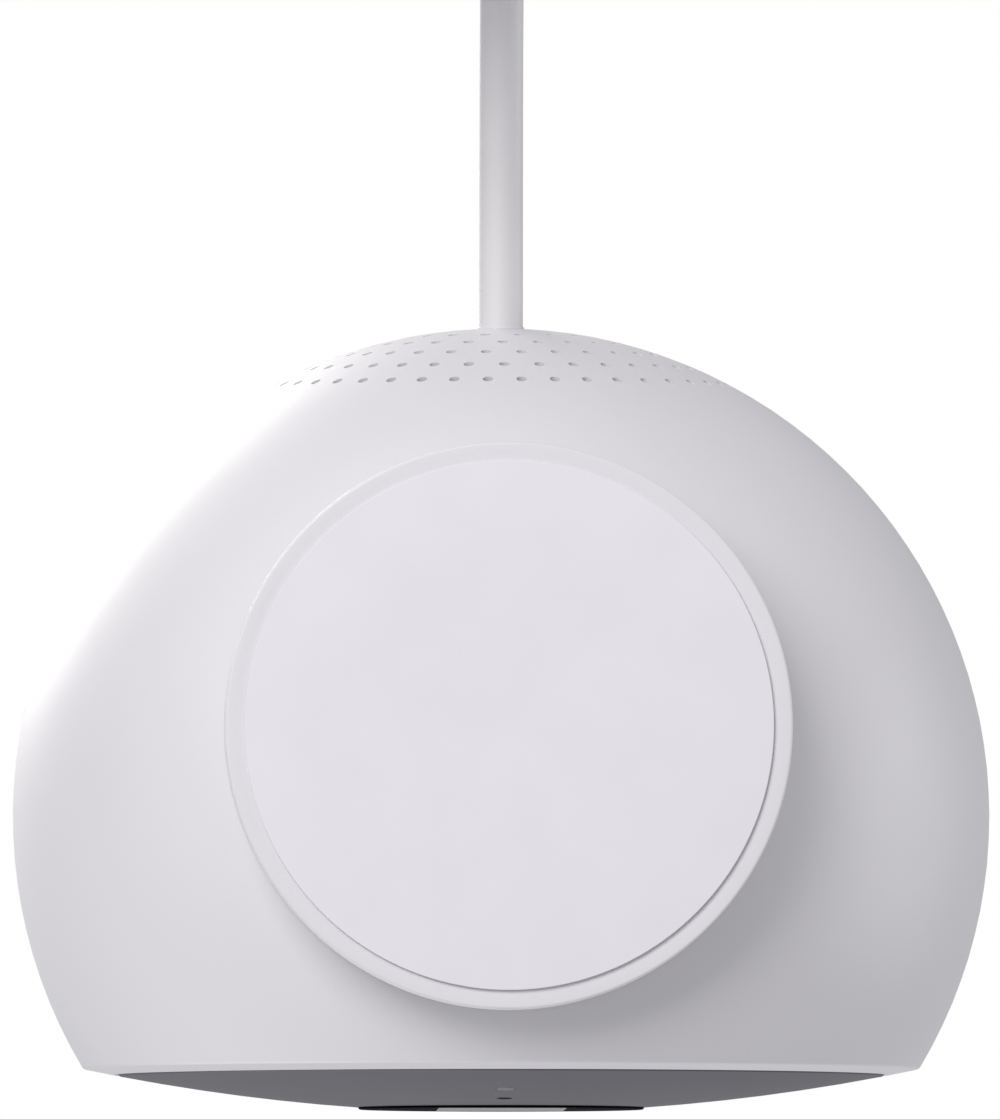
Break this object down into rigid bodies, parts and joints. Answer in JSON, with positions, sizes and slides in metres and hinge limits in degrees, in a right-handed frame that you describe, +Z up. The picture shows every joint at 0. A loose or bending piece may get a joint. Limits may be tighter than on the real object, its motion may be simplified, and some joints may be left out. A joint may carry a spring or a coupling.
{
  "type": "smart display",
  "caption": "Ball-shaped tabletop smart display with a flat domed front, a small round window, top buttons, a rear sound grille, a round foot and a power cord with its adapter.",
  "frame": {"origin": "centre of the foot pad's underside, on the table", "axes": "+Z up, the face looks along -Y, the cord leaves along +Y"},
  "size_m": [0.115, 0.1926, 0.1061],
  "materials": {
    "white_moulding": "fine-textured white moulding",
    "grey_moulding": "plain grey moulding",
    "pad_rubber": "matt silicone pad",
    "steel_screw": "plated steel screw",
    "ballast_steel": "turned steel weight",
    "fascia_moulding": "matt dark grey moulding",
    "window_glass": "black-printed cover glass",
    "light_pipe": "clear light guide",
    "cord_jacket": "soft white cord jacket",
    "button_moulding": "fine-textured white button",
    "circuit_board": "green solder mask",
    "switch_body": "black switch body",
    "flex_film": "amber polyimide film",
    "display_panel": "display panel",
    "connector_moulding": "cream connector housing",
    "gasket_rubber": "black soft rubber",
    "shield_metal": "tinned shield can",
    "core_moulding": "black internal moulding",
    "antenna_brass": "antenna foil",
    "sink_aluminium": "extruded heat sink",
    "lead_jacket": "black lead jacket",
    "basket_steel": "black painted basket",
    "magnet_iron": "speaker magnet",
    "coil_copper": "wound copper wire",
    "cone_paper": "pressed cone",
    "mesh_cloth": "acoustic mesh",
    "gasket_foam": "sealing foam",
    "tie_strap": "hook-and-loop strap",
    "adapter_moulding": "white adapter moulding",
    "blade_metal": "plated brass blade"
  },
  "bodies": {
    "root": {"ball_shell": "white_moulding", "foot_skirt": "white_moulding", "foot_base": "grey_moulding", "foot_pad": "pad_rubber", "foot_screws": "steel_screw", "ballast_weight": "ballast_steel", "front_fascia": "fascia_moulding", "window_glass": "window_glass", "status_light_pipe": "light_pipe", "cord_grommet": "cord_jacket", "button_board": "circuit_board", "tact_switches": "switch_body", "button_board_screws": "steel_screw", "button_flex": "flex_film", "display_module": "display_panel", "display_bracket": "grey_moulding", "display_screws": "steel_screw", "display_flex": "flex_film", "display_connector": "connector_moulding", "mic_gasket": "gasket_rubber", "front_microphone": "shield_metal", "status_led": "light_pipe", "front_sensor_board": "circuit_board", "core_frame": "core_moulding", "core_screws": "steel_screw", "wifi_antenna": "antenna_brass", "main_board": "circuit_board", "main_board_screws": "steel_screw", "processor_shield": "shield_metal", "thermal_pad": "gasket_rubber", "heat_sink": "sink_aluminium", "power_connector": "connector_moulding", "power_lead": "lead_jacket", "speaker_enclosure": "core_moulding", "enclosure_screws": "steel_screw", "speaker_frame": "basket_steel", "speaker_magnet": "magnet_iron", "voice_coil": "coil_copper", "speaker_cone": "cone_paper", "speaker_surround": "gasket_rubber", "speaker_screws": "steel_screw", "grille_mesh": "mesh_cloth", "grille_gasket": "gasket_foam", "power_cord": "cord_jacket", "cord_coil": "cord_jacket", "cord_tail": "cord_jacket", "cord_tie": "tie_strap", "adapter_relief": "cord_jacket", "adapter_body": "adapter_moulding", "adapter_blades": "blade_metal"},
    "volume_down_button": {"volume_down_button": "button_moulding"},
    "mic_mute_button": {"mic_mute_button": "button_moulding"},
    "volume_up_button": {"volume_up_button": "button_moulding"}
  },
  "joints": [
    {"name": "volume_down_press", "type": "slide", "parent": "root", "child": "volume_down_button", "axis": [0, 0, -1], "range_m": [0, 0.0006], "stiffness_N_per_m": 400, "springref_m": -0.001},
    {"name": "mic_mute_press", "type": "slide", "parent": "root", "child": "mic_mute_button", "axis": [0, 0, -1], "range_m": [0, 0.0006], "stiffness_N_per_m": 400, "springref_m": -0.001},
    {"name": "volume_up_press", "type": "slide", "parent": "root", "child": "volume_up_button", "axis": [0, 0, -1], "range_m": [0, 0.0006], "stiffness_N_per_m": 400, "springref_m": -0.001}
  ]
}
